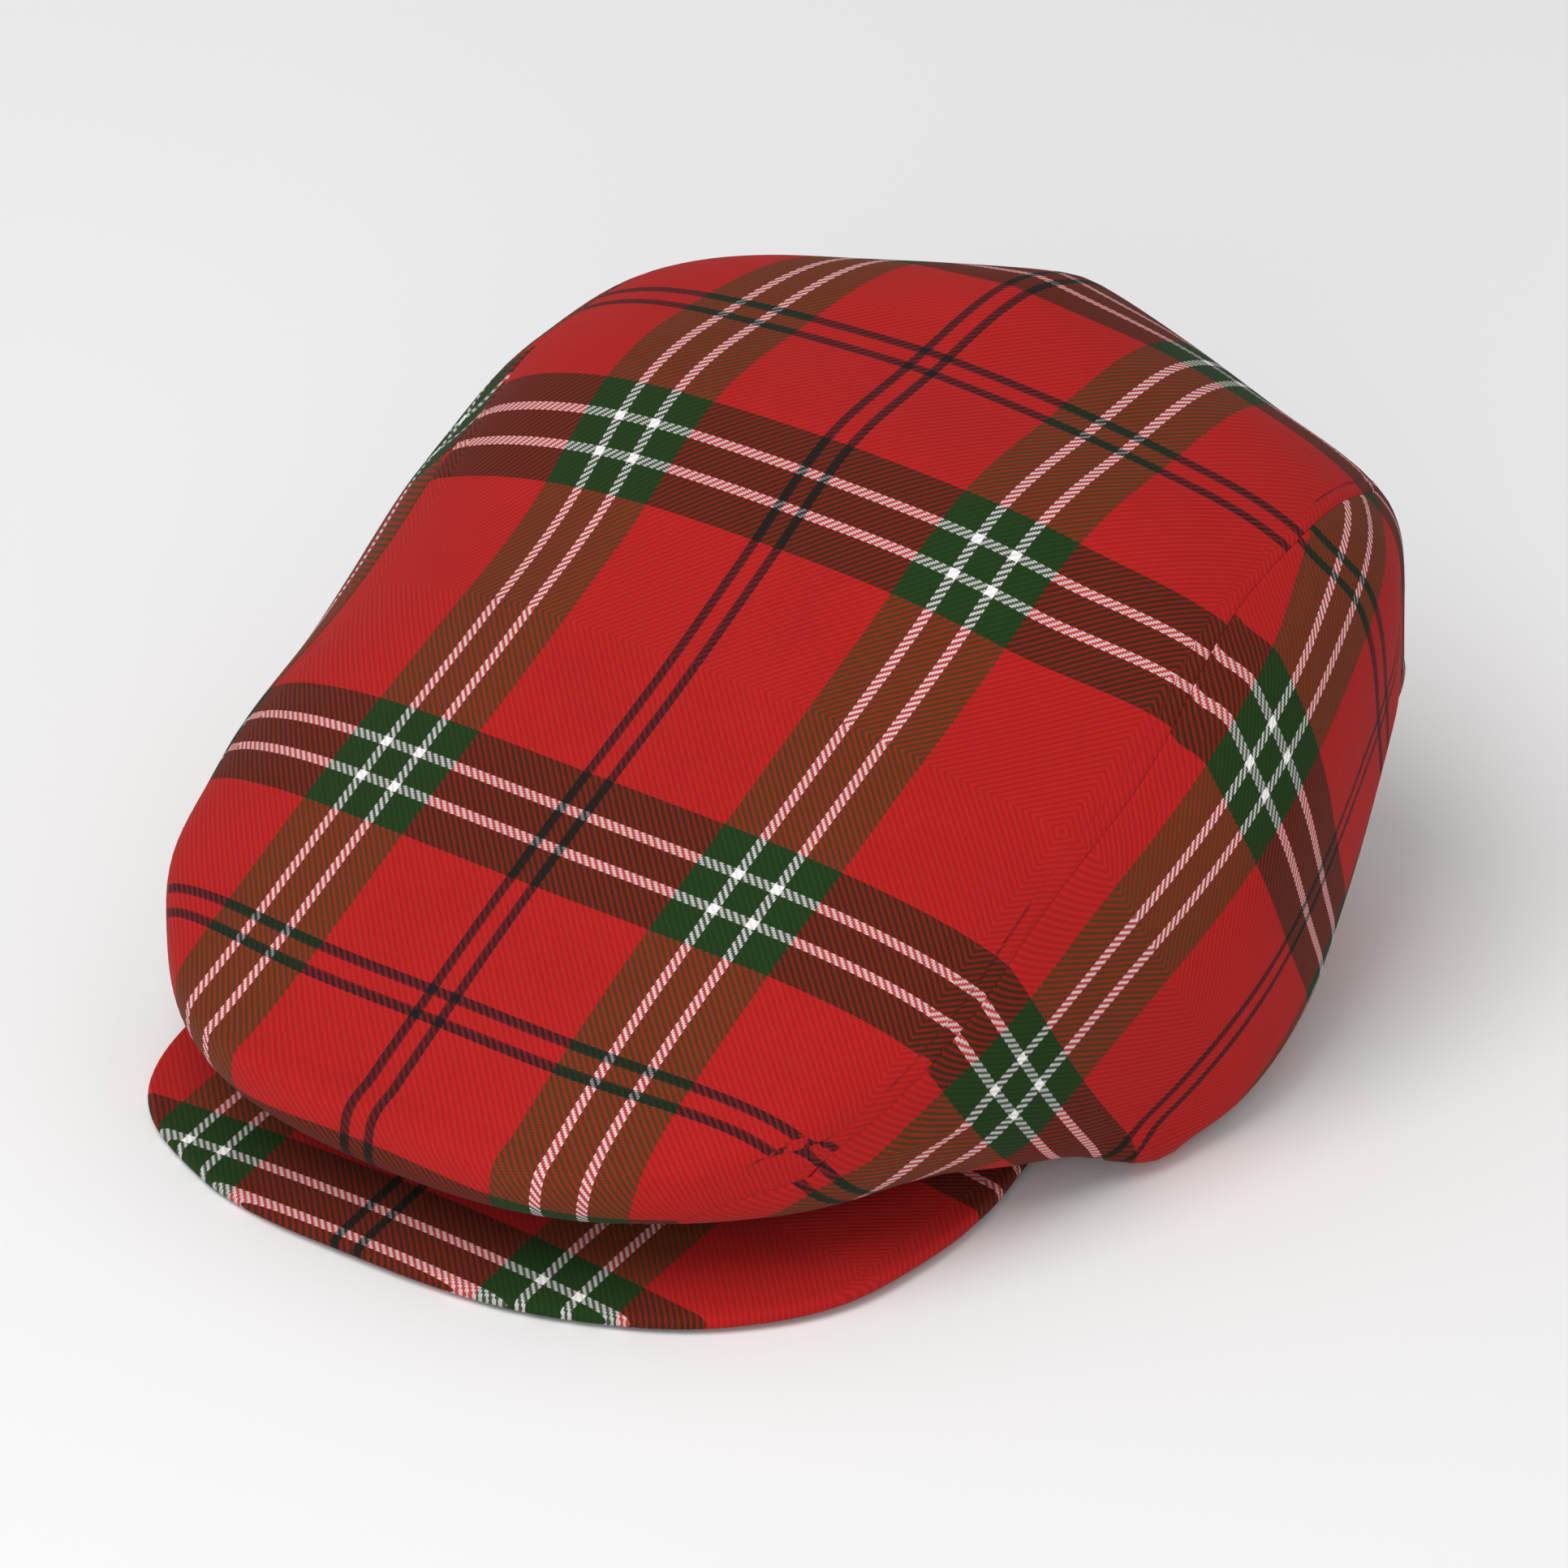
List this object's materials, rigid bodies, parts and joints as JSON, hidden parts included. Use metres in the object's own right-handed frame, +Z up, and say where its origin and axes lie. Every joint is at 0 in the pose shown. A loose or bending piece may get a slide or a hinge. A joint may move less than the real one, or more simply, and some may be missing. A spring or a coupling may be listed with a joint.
{
  "type": "flat cap",
  "caption": "Soft checked flat cap with a top panel rolled over a stiff curved peak and side panels round an open head hollow.",
  "frame": {"origin": "on the plane the cap rests on, under the middle of its length and width", "axes": "-Y is the way the cap faces, +X is the wearer's left, +Z is up"},
  "size_m": [0.2333, 0.2641, 0.1273],
  "materials": {
    "crown_cloth": "twill, matt",
    "side_cloth": "twill, matt",
    "peak_cloth": "twill over a stiff board, matt"
  },
  "bodies": {
    "root": {"crown_top": "crown_cloth", "side_panel_left": "side_cloth", "side_panel_right": "side_cloth", "peak": "peak_cloth"}
  },
  "joints": []
}
